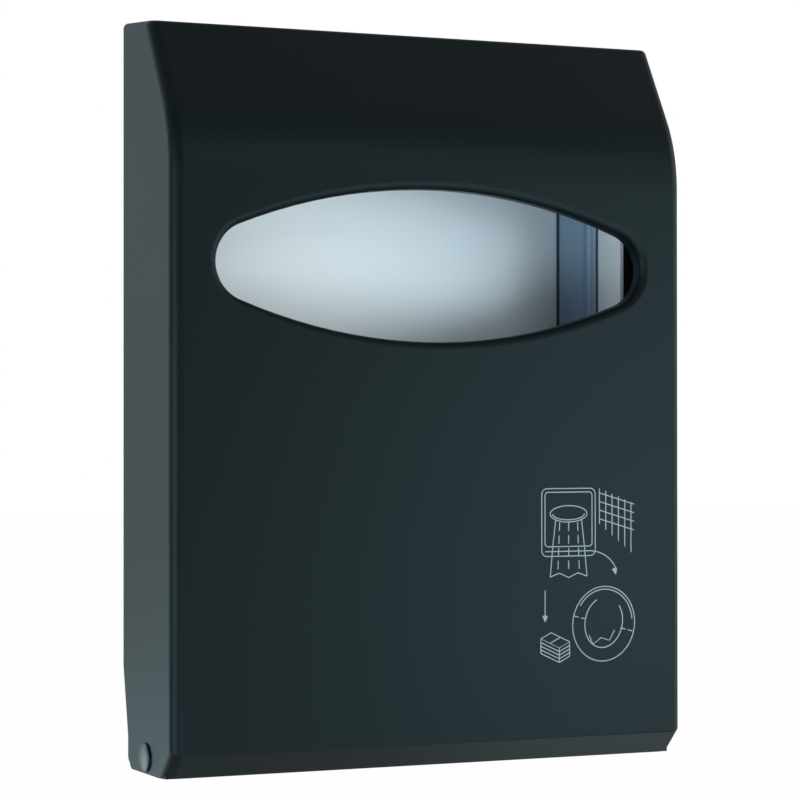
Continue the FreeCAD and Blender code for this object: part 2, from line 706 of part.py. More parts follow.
def plate_holes(body):
    """Through holes for the wall screws and a blind hole for the keeper's screw."""
    screws = start_sketch(body, "screw_holes", "XZ_Plane")
    screw_circles(screws, "screw_hole")
    pocket(body, screws, "2 * plate_wall", along=True)
    pilot = start_sketch(body, "keeper_hole", "XZ_Plane", KEEPER_BACK)
    circle(pilot, "keeper_side + keeper_width / 2", up(KEEPER_SCREW),
           "(keeper_screw_diameter + 2 * keeper_screw_fit)")
    pocket(body, pilot, "keeper_screw_length - keeper_wall + keeper_pad_gap")


def make_paper_tray():
    body = start_body("paper_tray")
    side = start_sketch(body, "tray_profile", "YZ_Plane")
    front = "-(plate_wall + tray_wall + tray_rise)"
    outline(side, [("-plate_wall", up(SHELF_TOP)),
                   ("-plate_wall", up(TRAY_TOP)),
                   (front, up(TRAY_TOP)),
                   (front, up("(%s + cheek_height)" % SHELF_TOP)),
                   ("-tray_reach", up("(%s + retainer_height)" % SHELF_TOP)),
                   ("-tray_reach", up(SHELF_TOP))])
    pad(body, side, "2 * %s" % TRAY_SIDE, symmetric=True)
    reach = SIZES["tray_reach"] - 0.01
    open_faces = ["Face%d" % i for i, face in enumerate(body.Tip.Shape.Faces, 1)
                  if normal(face).z > 0.1
                  or normal(face).y < -0.5 and face.CenterOfMass.y > -reach]
    hollow(body, "tray_shell", open_faces, "tray_wall")
    floor = -SIZES["plate_wall"] - SIZES["tray_wall"]
    edges = edges_at(body.Tip.Shape, lambda p, t: abs(t.z) > 0.99 and abs(p.y - floor) < 0.01
                     and abs(p.x) > SIZES["width"] / 3)
    round_edges(body, "tray_corners", edges, "tray_round")
    notch = start_sketch(body, "finger_notch_edge", "XZ_Plane", "tray_reach - 2 * tray_wall")
    circle(notch, "0", up("(%s + retainer_height)" % SHELF_TOP), "finger_notch * 2 / 3")
    pocket(body, notch, "3 * tray_wall", along=True)
    tray_floor_lines(body)
    holes = start_sketch(body, "tray_holes", "XZ_Plane")
    screw_circles(holes, "(screw_hole + 2 * tray_hole_fit)")
    pocket(body, holes, "%s + tray_wall" % TRAY_FLOOR, along=True)
    return body


def tray_floor_lines(body):
    """A groove and a ridge that run up the floor beside each side wall."""
    low = up("(%s + 2 * tray_wall)" % SHELF_TOP)
    grooves = start_sketch(body, "floor_grooves", "XZ_Plane", TRAY_FLOOR)
    ridges = start_sketch(body, "floor_ridges", "XZ_Plane", TRAY_FLOOR)
    for sketch, inset, width in ((grooves, "groove_inset", "groove_width"),
                                 (ridges, "ridge_inset", "ridge_width")):
        for sign in ("-", ""):
            place = "%s(%s - %s)" % (sign, TRAY_INSIDE, inset)
            rectangle(sketch, "%s - %s / 2" % (place, width), low,
                      "%s + %s / 2" % (place, width), up(TRAY_TOP))
    pocket(body, grooves, "groove_depth")
    pad(body, ridges, "ridge_rise")


def make_hinge_pin(side, sign):
    """A headed pin that turns in the ear and rides with the cover."""
    body = start_body("hinge_pin_" + side)
    half = start_sketch(body, "pin_half_" + side, "XY_Plane", up("hinge_height"))
    axis_line(half, "0", "-hinge_offset", level=True)

    def at(across, radius):
        return "%s(%s)" % (sign, across), "-(hinge_offset + %s)" % radius

    outline(half, [at(EAR_INNER, "0"),
                   at("width / 2 + pin_rise", "0"),
                   at("width / 2 + pin_rise", "(pin_head / 2 - pin_rise + pin_rim)"),
                   at("width / 2 + pin_rim", "pin_head / 2"),
                   at("width / 2", "pin_head / 2"),
                   at("width / 2", "pin_diameter / 2"),
                   at(EAR_INNER, "pin_diameter / 2")])
    revolve(body, half)
    return body


def make_buffer(side, sign):
    """A rubber disc on the boss, where the closed cover's rib comes to rest."""
    body = start_body("buffer_" + side)
    disc = start_sketch(body, "buffer_disc_" + side, "XZ_Plane", "plate_wall + buffer_boss_rise")
    circle(disc, sign + BUFFER_PLACE, up(BUFFER_HEIGHT), "buffer_diameter")
    pad(body, disc, "buffer_rise")
    return body


def make_keeper_plate():
    """A bent steel plate: a foot on the pad, a shelf under the arm and a lip before it."""
    body = start_body("keeper_plate")
    foot = start_sketch(body, "keeper_foot", "XZ_Plane", KEEPER_BACK)
    rectangle(foot, "keeper_side", up("(%s - keeper_wall)" % TAB_TOP),
              "keeper_side + keeper_width", up(KEEPER_TOP))
    pad(body, foot, "keeper_wall")
    lip_face = "(lock_offset + cam_width / 2 + keeper_gap)"
    shelf = start_sketch(body, "keeper_shelf", "XY_Plane", up("(%s - keeper_wall)" % TAB_TOP))
    hook_back = "-(lock_offset - cam_width / 2 - keeper_gap)"
    front = "-(%s + keeper_wall)" % lip_face
    outline(shelf, [("keeper_side", "-" + KEEPER_BACK),
                    ("keeper_side", hook_back),
                    ("keeper_reach", hook_back),
                    ("keeper_reach", front),
                    ("keeper_reach + keeper_hook", front),
                    ("keeper_side + keeper_width", hook_back),
                    ("keeper_side + keeper_width", "-" + KEEPER_BACK)])
    pad(body, shelf, "keeper_wall")
    lip = start_sketch(body, "keeper_lip_face", "XZ_Plane", lip_face)
    rectangle(lip, "keeper_reach", up("(%s - keeper_wall)" % TAB_TOP),
              "keeper_reach + keeper_hook", up("(%s + keeper_lip)" % TAB_TOP))
    pad(body, lip, "keeper_wall")
    hole = start_sketch(body, "keeper_screw_hole", "XZ_Plane", KEEPER_BACK)
    circle(hole, "keeper_side + keeper_width / 2", up(KEEPER_SCREW),
           "(keeper_screw_diameter + 2 * keeper_screw_fit)")
    pocket(body, hole, "2 * keeper_wall", along=True)
    bottom = min(v.Z for v in body.Tip.Shape.Vertexes)
    ends = body.Tip.Shape.BoundBox
    edges = edges_at(body.Tip.Shape, lambda p, t: abs(t.x) > 0.99 and abs(p.z - bottom) < 0.01
                     and (p.y > ends.YMax - 0.01 or p.y < ends.YMin + 0.01))
    round_edges(body, "keeper_bends", edges, "keeper_bend")
    return body


def make_keeper_screw():
    body = start_body("keeper_screw")
    face = "(%s + keeper_wall)" % KEEPER_BACK
    middle = "keeper_side + keeper_width / 2"
    head = start_sketch(body, "keeper_screw_top", "XZ_Plane", face)
    circle(head, middle, up(KEEPER_SCREW), "keeper_screw_head")
    pad(body, head, "keeper_screw_head_height")
    shank = start_sketch(body, "keeper_screw_shank", "XZ_Plane", face)
    circle(shank, middle, up(KEEPER_SCREW), "keeper_screw_diameter")
    pad(body, shank, "keeper_screw_length", back=True)
    slot = start_sketch(body, "keeper_screw_slot_edge", "XZ_Plane",
                        "%s + keeper_screw_head_height" % face)
    rectangle(slot, middle + " - keeper_screw_head", up(KEEPER_SCREW) + " - keeper_screw_slot / 2",
              middle + " + keeper_screw_head", up(KEEPER_SCREW) + " + keeper_screw_slot / 2")
    pocket(body, slot, "keeper_screw_head_height / 2")
    return body


def make_lock_housing():
    """The lock's flanged barrel with two flats that keep it from turning in the cover."""
    body = start_body("lock_housing")
    lock = "-lock_offset"
    flange = start_sketch(body, "flange_edge", "XY_Plane", up(LOCK_SEAT))
    circle(flange, "0", lock, "lock_flange")
    pad(body, flange, "lock_flange_height")
    barrel = start_sketch(body, "barrel_edge", "XY_Plane", up(BARREL_FOOT))
    double_flat(barrel, lock, "barrel_diameter", "barrel_flats")
    pad(body, barrel, "barrel_length")
    bore = start_sketch(body, "plug_bore", "XY_Plane", up(BARREL_FOOT))
    circle(bore, "0", lock, "(plug_diameter + 2 * plug_fit)")
    pocket(body, bore, along=True)
    seat = start_sketch(body, "plug_head_bore", "XY_Plane", up(LOCK_TOP))
    circle(seat, "0", lock, "(plug_head + 2 * plug_fit)")
    pocket(body, seat, "plug_head_height")
    return body


def make_lock_nut():
    body = start_body("lock_nut")
    hexagon = start_sketch(body, "nut_outline", "XY_Plane", up(BOSS_FOOT))
    corners = []
    for i in range(6):
        across = "nut_flats / sqrt(3) * cos(%d)" % (60 * i)
        upward = "nut_flats / sqrt(3) * sin(%d) - lock_offset" % (60 * i)
        corners.append((across, upward))
    outline(hexagon, corners)
    pad(body, hexagon, "nut_height", back=True)
    hole = start_sketch(body, "nut_hole", "XY_Plane", up(BOSS_FOOT))
    circle(hole, "0", "-lock_offset", "(barrel_diameter + 2 * barrel_fit)")
    pocket(body, hole)
    return body


def make_lock_plug():
    """The turning plug with its keyway, square end and screw hole."""
    body = start_body("lock_plug")
    lock = "-lock_offset"
    core = start_sketch(body, "plug_core", "XY_Plane", up(CAM_TOP))
    circle(core, "0", lock, "plug_diameter")
    pad(body, core, "%s - %s" % (LOCK_TOP, CAM_TOP))
    head = start_sketch(body, "plug_head_edge", "XY_Plane", up(LOCK_TOP))
    circle(head, "0", lock, "plug_head")
    pad(body, head, "plug_head_height", back=True)
    square = start_sketch(body, "plug_square_edge", "XY_Plane", up(CAM_TOP))
    rectangle(square, "-plug_square / 2", lock + " - plug_square / 2",
              "plug_square / 2", lock + " + plug_square / 2")
    pad(body, square, "cam_thickness", back=True)
    keyway = start_sketch(body, "keyway_edge", "XY_Plane", up(LOCK_TOP))
    rectangle(keyway, "-keyway_length / 2", lock + " - keyway_width / 2",
              "keyway_length / 2", lock + " + keyway_width / 2")
    pocket(body, keyway, "keyway_depth")
    thread = start_sketch(body, "plug_thread", "XY_Plane", up(CAM_FOOT))
    circle(thread, "0", lock, "(cam_screw_diameter + 2 * cam_fit)")
    pocket(body, thread, "cam_screw_length + plug_play", along=True)
    return body


def make_lock_cam():
    """The lock's arm. At rest it points to the wall, clear of the keeper."""
    body = start_body("lock_cam")
    lock = "-lock_offset"
    arm = start_sketch(body, "cam_arm", "XY_Plane", up(CAM_TOP))
    rectangle(arm, "-cam_width / 2", lock, "cam_width / 2", "cam_reach - lock_offset")
    pad(body, arm, "cam_thickness", back=True)
    hub = start_sketch(body, "cam_hub_edge", "XY_Plane", up(CAM_TOP))
    circle(hub, "0", lock, "cam_hub")
    pad(body, hub, "cam_thickness", back=True)
    edges = edges_at(body.Tip.Shape, lambda p, t: abs(t.z) > 0.99
                     and p.y > SIZES["cam_reach"] - SIZES["lock_offset"] - 0.01)
    round_edges(body, "cam_tip", edges, "cam_width / 4")
    square = start_sketch(body, "cam_square", "XY_Plane", up(CAM_TOP))
    rectangle(square, "-(plug_square / 2 + cam_fit)", lock + " - plug_square / 2 - cam_fit",
              "plug_square / 2 + cam_fit", lock + " + plug_square / 2 + cam_fit")
    pocket(body, square)
    return body


def make_cam_screw():
    """A slotted screw whose wide head holds the arm on the plug."""
    body = start_body("cam_screw")
    lock = "-lock_offset"
    head = start_sketch(body, "cam_screw_top", "XY_Plane", up(CAM_FOOT))
    circle(head, "0", lock, "cam_screw_head")
    pad(body, head, "cam_screw_head_height", back=True)
    shank = start_sketch(body, "cam_screw_shank", "XY_Plane", up(CAM_FOOT))
    circle(shank, "0", lock, "cam_screw_diameter")
    pad(body, shank, "cam_screw_length")
    slot = start_sketch(body, "cam_screw_slot_edge", "XY_Plane",
                        up("(%s - cam_screw_head_height)" % CAM_FOOT))
    rectangle(slot, "-cam_screw_head", lock + " - cam_screw_slot / 2",
              "cam_screw_head", lock + " + cam_screw_slot / 2")
    pocket(body, slot, "cam_screw_head_height / 2", along=True)
    return body


BODIES = [
    make_front_cover(),
    make_hinge_pin("left", "-"),
    make_hinge_pin("right", ""),
    make_wall_plate(),
    make_paper_tray(),
    make_buffer("left", "-"),
    make_buffer("right", ""),
    make_keeper_plate(),
    make_keeper_screw(),
    make_lock_housing(),
    make_lock_nut(),
    make_lock_plug(),
    make_lock_cam(),
    make_cam_screw(),
]

doc.recompute()
for item in doc.Objects:
    if "Invalid" in item.State or "Error" in item.State:
        raise RuntimeError("%s is not computed: %s" % (item.Name, item.State))
os.makedirs("parts", exist_ok=True)
for body in BODIES:
    if body.Shape.isNull() or not body.Shape.isValid():
        raise RuntimeError("%s has no valid shape" % body.Label)
    body.Shape.exportStep("parts/%s.step" % body.Label)
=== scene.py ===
# %% [markdown]
# # A wall dispenser for folded paper seat covers
# The object is a black moulded cover over a wall plate. Paper is pulled out through a long
# oval opening, behind which a pale tray shows. The CAD model is loaded first and isn't moved.
# Each step below gives one piece its finish, or puts a finer piece in the place of a plain one.

# %% Load the CAD model
import math

import bmesh
import bpy
from mathutils import Matrix, Vector


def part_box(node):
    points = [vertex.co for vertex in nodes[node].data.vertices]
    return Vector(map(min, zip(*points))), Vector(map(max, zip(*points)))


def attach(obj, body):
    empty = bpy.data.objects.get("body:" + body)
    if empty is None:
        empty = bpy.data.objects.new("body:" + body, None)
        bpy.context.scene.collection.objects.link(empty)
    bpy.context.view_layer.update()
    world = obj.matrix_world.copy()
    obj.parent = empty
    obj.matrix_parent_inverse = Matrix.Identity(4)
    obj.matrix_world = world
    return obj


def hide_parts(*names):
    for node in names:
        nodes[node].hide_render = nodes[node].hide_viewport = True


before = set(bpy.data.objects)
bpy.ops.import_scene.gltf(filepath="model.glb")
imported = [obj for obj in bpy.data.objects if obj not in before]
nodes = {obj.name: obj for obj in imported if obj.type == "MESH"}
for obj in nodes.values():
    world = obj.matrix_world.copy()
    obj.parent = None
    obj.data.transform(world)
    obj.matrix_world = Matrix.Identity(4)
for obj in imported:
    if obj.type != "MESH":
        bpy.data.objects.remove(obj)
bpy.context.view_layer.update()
MM = 0.001
print("nodes:", sorted(nodes))

# %% [markdown]
# ## Places that several pieces share
# Heights on the real object are easiest to read from the cover's bottom edge, so one helper
# turns such a height into the model's Z. The flat front and the hinge line come from the CAD
# boxes of the cover and of a pin.

# %% Shared places
cover_low, cover_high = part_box("front_cover")
pin_low, pin_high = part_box("hinge_pin_right")
FRONT = cover_low.y
BOTTOM = cover_low.z
HINGE = Vector((0, (pin_low.y + pin_high.y) / 2, (pin_low.z + pin_high.z) / 2))


def height(millimetres):
    """The Z of a height above the cover's bottom edge."""
    return BOTTOM + millimetres * MM


print("front at Y %.4f, hinge at" % FRONT, tuple(round(v, 4) for v in HINGE))

# %% [markdown]
# ## Sums on sockets
# A finish changes from place to place, and shader nodes work that out. Written as sums in
# Python, these nodes stay short to read: this class wraps one output, and each operator adds a
# Math node.

# %% A socket that takes part in sums
class Signal:
    """One output of a material's nodes; operators on it add Math nodes."""

    def __init__(self, tree, socket):
        self.tree = tree
        self.socket = socket

    def node(self, kind, settings, inputs, output=0):
        """Adds a node: its settings first, then the values or links of its sockets."""
        made = self.tree.nodes.new(kind)
        for name, value in settings.items():
            setattr(made, name, value)
        for name, value in inputs.items():
            if isinstance(value, Signal):
                self.tree.links.new(value.socket, made.inputs[name])
            else:
                made.inputs[name].default_value = value
        return Signal(self.tree, made.outputs[output])

    def math(self, operation, *values):
        return self.node("ShaderNodeMath", {"operation": operation}, dict(enumerate(values)))

    def __add__(self, other):
        return self.math("ADD", self, other)

    __radd__ = __add__

    def __sub__(self, other):
        return self.math("SUBTRACT", self, other)

    def __rsub__(self, other):
        return self.math("SUBTRACT", other, self)

    def __mul__(self, other):
        return self.math("MULTIPLY", self, other)

    __rmul__ = __mul__


print("Signal adds a Math node for each of + - *")

# %% [markdown]
# ## A material to start from
# Every finish here is one Principled shader. What is the same all over goes straight onto the
# shader's own sockets. What varies is a Signal that starts from the object's own coordinates,
# so that a pattern stays on the piece when it moves.

# %% Start a material
# A Mix node lists the sockets of every kind of value. These are its places for colours.
MIX_AMOUNT, MIX_ONE, MIX_OTHER, MIX_RESULT = 0, 6, 7, 2


class Finish:
    """A new material with its shader and the object's coordinates."""

    def __init__(self, name, colour, roughness, **constants):
        self.material = bpy.data.materials.new(name)
        self.material.use_nodes = True
        self.tree = self.material.node_tree
        self.shader = self.tree.nodes["Principled BSDF"]
        self.set("Base Color", (*colour, 1))
        self.set("Roughness", roughness)
        for socket, value in constants.items():
            self.set(socket.replace("_", " "), value)
        self.start = Signal(self.tree, None)
        self.place = self.start.node("ShaderNodeTexCoord", {}, {}, "Object")
        self.material.diffuse_color = (*colour, 1)

    def set(self, socket, value):
        """Gives a socket of the shader a value, or links a Signal to it."""
        if isinstance(value, Signal):
            self.tree.links.new(value.socket, self.shader.inputs[socket])
        else:
            self.shader.inputs[socket].default_value = value

    def noise(self, scale, detail=2.0, stretch=(1, 1, 1)):
        """Noise from 0 to 1; a stretch under 1 draws the pattern out along that axis."""
        place = self.start.node("ShaderNodeMapping", {}, {"Vector": self.place, "Scale": stretch})
        return self.start.node("ShaderNodeTexNoise", {},
                               {"Vector": place, "Scale": scale, "Detail": detail}, "Fac")

    def grain(self, bumps, strength, depth):
        """Lets a pattern stand up from the surface by a depth in metres."""
        self.set("Normal", self.start.node("ShaderNodeBump", {}, {
            "Height": bumps, "Strength": strength, "Distance": depth}))

    def beyond(self, distance, edge, blur):
        """Rises from 0 to 1 where a distance passes an edge; the rise is as wide as the blur."""
        return self.start.node("ShaderNodeMapRange", {"interpolation_type": "SMOOTHSTEP"}, {
            "Value": distance, "From Min": edge - blur / 2, "From Max": edge + blur / 2,
            "To Min": 0.0, "To Max": 1.0})

    def blend(self, amount, one, other):
        """Mixes two colours, each a triple or a Signal, with an amount from 0 to 1."""
        one, other = (shade if isinstance(shade, Signal) else (*shade, 1) for shade in (one, other))
        return self.start.node("ShaderNodeMix", {"data_type": "RGBA"}, {
            MIX_AMOUNT: amount, MIX_ONE: one, MIX_OTHER: other}, MIX_RESULT)

    def tint(self, amount, one, other):
        """Goes from one colour to another over the piece."""
        self.set("Base Color", self.blend(amount, one, other))


def dress(piece, finish):
    """Gives a whole piece one finish."""
    piece.data.materials.clear()
    piece.data.materials.append(finish.material)


print("Finish starts a material; dress puts it on a piece")

# %% [markdown]
# ## Soft-touch black
# The cover is moulded in black plastic with a fine matt skin. Its own colour is so dark that
# what is seen of it is mostly a soft, slightly cool reflection, which brightens at a glancing
# angle. A little sheen helps that, and a fine noise breaks up the surface and makes the gloss a
# touch uneven. The wall plate behind it is plainer and rougher, and the pins are smoother.

# %% Black plastics
PORE_DEPTH = 0.02 * MM
skin = Finish("soft_touch_black", (0.0019, 0.0029, 0.0037), 0.40, IOR=1.255,
              Specular_Tint=(0.60, 0.93, 1.0, 1),
              Sheen_Weight=0.02, Sheen_Roughness=0.45, Sheen_Tint=(0.55, 0.90, 1.0, 1))
cloud = skin.noise(14.0)
skin.tint(cloud, (0.0017, 0.0026, 0.0034), (0.0021, 0.0032, 0.0040))
skin.set("Roughness", 0.37 + 0.06 * skin.noise(9.0))
skin.grain(skin.noise(2600.0, 3.0), 0.25, PORE_DEPTH)

plain_black = Finish("matt_black", (0.013, 0.016, 0.017), 0.55, IOR=1.42)
plain_black.tint(plain_black.noise(20.0), (0.011, 0.014, 0.015), (0.016, 0.019, 0.020))
plain_black.grain(plain_black.noise(1800.0), 0.3, 1.5 * PORE_DEPTH)

pin_black = Finish("satin_black", (0.010, 0.013, 0.014), 0.30, IOR=1.46)
pin_black.set("Roughness", 0.26 + 0.08 * pin_black.noise(300.0))

dress(nodes["front_cover"], skin)
dress(nodes["wall_plate"], plain_black)
print("black plastics on the cover, the wall plate and the pins")

# %% [markdown]
# ## Satin tray
# Behind the opening lies a pale satin sheet, half metallic with a faint upright drawing grain,
# that mirrors the room softly: bright where it faces the light, and dark where the cover stands
# in the way. On top of that its colour holds painted shade: a fade from paler on the left to
# darker on the right. Towards both ends the tone changes with the distance from the middle, and
# these bands are painted shade and reflection: a dark line of painted shade in the groove, a
# bluer band of painted reflection with the ridge in it, drawn in painted highlight and shade, a
# thin dark line of painted shade where the sheet bends, and a plain white side wall. A list of
# edges keeps these bands readable: each row says where a tone starts, how soft that edge is, and
# the tone.

# %% The tray's bands
TRAY_SHADE_AND_REFLECTION_BANDS = (
    # Painted shade: the fall, the groove, the ridge's two edges and the line of the bend. Painted
    # reflection: the bluer bands. Painted highlight: the ridge itself. The side wall is plain
    # white.
    (82.6, 1.6, (0.56, 0.66, 0.76)),    # the fall towards the groove
    (83.9, 0.3, (0.03, 0.07, 0.12)),    # the groove
    (85.7, 0.3, (0.30, 0.45, 0.58)),    # the band beside it
    (90.5, 8.0, (0.33, 0.45, 0.60)),
    (97.6, 0.4, (0.22, 0.34, 0.50)),    # the near edge of the ridge
    (98.4, 0.4, (0.36, 0.52, 0.68)),    # the ridge
    (100.6, 0.4, (0.26, 0.40, 0.56)),   # its far edge
    (101.6, 1.6, (0.42, 0.56, 0.68)),
    (103.3, 0.2, (0.02, 0.04, 0.07)),   # the line of the bend
    (104.2, 0.1, (0.96, 0.98, 0.98)),   # the side wall
)
TRAY_METAL = 0.4
BEND = 103.8
print("tray bands:", len(TRAY_SHADE_AND_REFLECTION_BANDS))

# %% Tray
satin = Finish("satin_tray", (0.78, 0.86, 0.91), 0.40, Metallic=TRAY_METAL)
drawn = satin.noise(30.0, 2.0, (1, 1, 0.3))
across = satin.place.node("ShaderNodeSeparateXYZ", {}, {"Vector": satin.place}, "X")
aside = across.math("ABSOLUTE", across)
# Painted shade: the sheet goes from paler on the left to darker on the right, where the cover
# shades it.
sheet = satin.blend(satin.beyond(across, 0.0, 90 * MM), (0.80, 0.85, 0.87), (0.62, 0.71, 0.77))
sheet = satin.blend(0.3 * drawn, sheet, (0.70, 0.77, 0.82))
# Painted shade and reflection: the bands towards both ends are laid over the sheet's tone.
for edge, blur, tone in TRAY_SHADE_AND_REFLECTION_BANDS:
    sheet = satin.blend(satin.beyond(aside, edge * MM, blur * MM), sheet, tone)
satin.set("Base Color", sheet)
satin.set("Metallic", TRAY_METAL - TRAY_METAL * satin.beyond(aside, BEND * MM, 0.4 * MM))
satin.set("Roughness", 0.47 + 0.04 * drawn)
dress(nodes["paper_tray"], satin)
print("satin finish on the tray")

# %% [markdown]
# ## Small metal and rubber parts
# The lock is polished, its nut and screws are plated, and its arm and the keeper are brushed
# sheet. The buffers are dull rubber. They show only from above or when the cover is open.

# %% Metals
polished = Finish("polished_lock", (0.72, 0.73, 0.74), 0.12, Metallic=1.0)
polished.set("Roughness", 0.10 + 0.06 * polished.noise(180.0))
brushed = Finish("brushed_sheet", (0.56, 0.57, 0.58), 0.34, Metallic=1.0)
streaks = brushed.noise(500.0, 2.0, (0.06, 1, 1))
brushed.set("Roughness", 0.28 + 0.14 * streaks)
brushed.grain(streaks, 0.15, PORE_DEPTH)
plated = Finish("zinc_plated", (0.60, 0.61, 0.60), 0.30, Metallic=1.0)
plated.tint(plated.noise(220.0), (0.55, 0.57, 0.57), (0.66, 0.65, 0.61))
nickel = Finish("nickel_on_brass", (0.62, 0.58, 0.48), 0.28, Metallic=1.0)
nickel.set("Roughness", 0.24 + 0.10 * nickel.noise(260.0))
print("four metals for the lock, the keeper and the screws")

# %% Rubber, and where each goes
rubber = Finish("black_rubber", (0.018, 0.018, 0.018), 0.75, IOR=1.5)
rubber.set("Roughness", 0.70 + 0.12 * rubber.noise(500.0))
SMALL_PARTS = {"lock_housing": polished, "lock_plug": polished, "lock_nut": nickel,
               "lock_cam": brushed, "keeper_plate": brushed,
               "keeper_screw": plated, "cam_screw": plated,
               "buffer_left": rubber, "buffer_right": rubber}
for name, finish in SMALL_PARTS.items():
    dress(nodes[name], finish)
print("metal and rubber on", len(SMALL_PARTS), "small pieces")

# %% [markdown]
# ## Softened edges
# No moulded or bent edge is perfectly sharp: a narrow rounding catches the light. The CAD mesh
# is loose triangles, so a Weld comes first, then a Bevel on the sharp edges only, and weighted
# normals keep the flat faces flat.

# %% Round the sharp edges
SAME_POINT = 0.004 * MM
SHARP = math.radians(38)


def soften(piece, width):
    """Joins the loose triangles of a CAD piece and rounds its sharp edges."""
    join = piece.modifiers.new("join", "WELD")
    join.merge_threshold = SAME_POINT
    round_off = piece.modifiers.new("round_off", "BEVEL")
    round_off.width = width
    round_off.segments = 2
    round_off.limit_method = "ANGLE"
    round_off.angle_limit = SHARP
    normals = piece.modifiers.new("normals", "WEIGHTED_NORMAL")
    normals.keep_sharp = True
    piece.data.polygons.foreach_set("use_smooth", [True] * len(piece.data.polygons))


EDGE_WIDTHS = {"front_cover": 0.35, "wall_plate": 0.30, "paper_tray": 0.25,
               "lock_housing": 0.35, "lock_plug": 0.15, "lock_nut": 0.25, "lock_cam": 0.15,
               "keeper_plate": 0.15, "keeper_screw": 0.15, "cam_screw": 0.20,
               "buffer_left": 0.40, "buffer_right": 0.40}
for name, width in EDGE_WIDTHS.items():
    soften(nodes[name], width * MM)
print("edges softened on", len(EDGE_WIDTHS), "pieces")

# %% [markdown]
# ## Hinge pins
# The head of each pin is a low satin dome. A turned part is drawn as half its outline and spun
# round its axis, here from the box of the plain pin that it replaces. The second pin is the
# first one mirrored, so its faces are turned outwards again.

# %% Turn a bmesh into a piece
def finish_piece(mesh, name, finish, smooth=True):
    """Makes a bmesh an object at the origin, with its place in its mesh."""
    data = bpy.data.meshes.new(name)
    mesh.to_mesh(data)
    mesh.free()
    if smooth:
        data.polygons.foreach_set("use_smooth", [True] * len(data.polygons))
    piece = bpy.data.objects.new(name, data)
    bpy.context.scene.collection.objects.link(piece)
    dress(piece, finish)
    print(name, len(data.polygons), "faces")
    return piece


print("finish_piece makes an object of a bmesh")

# %% Draw half a pin
SHANK = 3.0 * MM
TIP_CHAMFER = 0.4 * MM
RIM_CHAMFER, RIM_RISE = 0.25 * MM, 0.12 * MM
RIM_SHARE = 0.45


def pin_outline(tip, seat, crown, head):
    """Points (distance from the middle, radius) from the pin's tip to the crown of its head."""
    rim = seat + RIM_SHARE * (crown - seat)
    dome = [(rim + (crown - rim) * math.sin(math.radians(turn)),
             head * math.cos(math.radians(turn))) for turn in range(0, 90, 6)]
    return [(tip, 0), (tip, SHANK - TIP_CHAMFER), (tip + TIP_CHAMFER, SHANK), (seat, SHANK),
            (seat, head - RIM_CHAMFER), (seat + RIM_RISE, head)] + dome + [(crown, 0)]


print("the pin's outline has", len(pin_outline(0, 1, 2, 3)), "points")

# %% Spin the pins
PIN_STEPS = 72


def make_pin(name, side, node):
    """A turned pin in the place of a plain one; a side of -1 is the left."""
    low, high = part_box(node)
    tip, crown = sorted((abs(low.x), abs(high.x)))
    head = (high.z - low.z) / 2
    mesh = bmesh.new()
    verts = [mesh.verts.new((along, HINGE.y - radius, HINGE.z))
             for along, radius in pin_outline(tip, cover_high.x, crown, head)]
    edges = [mesh.edges.new(pair) for pair in zip(verts, verts[1:])]
    bmesh.ops.spin(mesh, geom=verts + edges, cent=HINGE, axis=(1, 0, 0), angle=2 * math.pi,
                   steps=PIN_STEPS, use_merge=True)
    bmesh.ops.remove_doubles(mesh, verts=mesh.verts, dist=0.01 * MM)
    if side < 0:
        bmesh.ops.scale(mesh, vec=(-1, 1, 1), verts=mesh.verts)
    bmesh.ops.recalc_face_normals(mesh, faces=mesh.faces)
    piece = finish_piece(mesh, name, pin_black)
    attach(piece, "cover")
    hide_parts(node)


make_pin("hinge_pin_left_turned", -1, "hinge_pin_left")
make_pin("hinge_pin_right_turned", 1, "hinge_pin_right")

# %% [markdown]
# ## Printed pictogram
# A small line drawing on the front shows how the paper is used. It is thin pale ink, so each
# line is a curve with a round bevel, pressed flat and laid on the cover. This one is a plain
# drawing of its own: the dispenser with a hanging sheet and its folds, an arrow, the opened
# sheet, and a fresh pack. All its places are in millimetres: X, and the height above the
# cover's bottom edge.

# %% Ink
INK_WIDTH = 0.45 * MM
INK_RISE = 0.02 * MM
ink = Finish("pale_ink", (0.30, 0.37, 0.37), 0.60, IOR=1.4)
ink.tint(ink.noise(900.0), (0.27, 0.335, 0.335), (0.33, 0.40, 0.40))

drawing = bpy.data.curves.new("pictogram_lines", "CURVE")
drawing.dimensions = "3D"
drawing.bevel_depth = INK_WIDTH / 2
drawing.bevel_resolution = 2
drawing.use_fill_caps = True
print("ink lines are %.2f mm wide" % (INK_WIDTH / MM))

# %% Lines and arcs
def line(points, closed=False):
    """A line through a row of points."""
    spline = drawing.splines.new("POLY")
    spline.points.add(len(points) - 1)
    for point, (across, upward) in zip(spline.points, points):
        point.co = (across * MM, 0, height(upward), 1)
    spline.use_cyclic_u = closed


def arc(centre, radii, first, last, count=36, turn=0.0):
    """Points on an ellipse between two angles, in degrees, turned about its centre."""
    tilt = math.radians(turn)
    points = []
    for i in range(count + 1):
        angle = math.radians(first + (last - first) * i / count)
        across, upward = radii[0] * math.cos(angle), radii[1] * math.sin(angle)
        points.append((centre[0] + across * math.cos(tilt) - upward * math.sin(tilt),
                       centre[1] + across * math.sin(tilt) + upward * math.cos(tilt)))
    return points


def ring(centre, radii, count, turn=0.0):
    """A closed ellipse."""
    line(arc(centre, radii, 0, 360, count, turn)[:-1], closed=True)


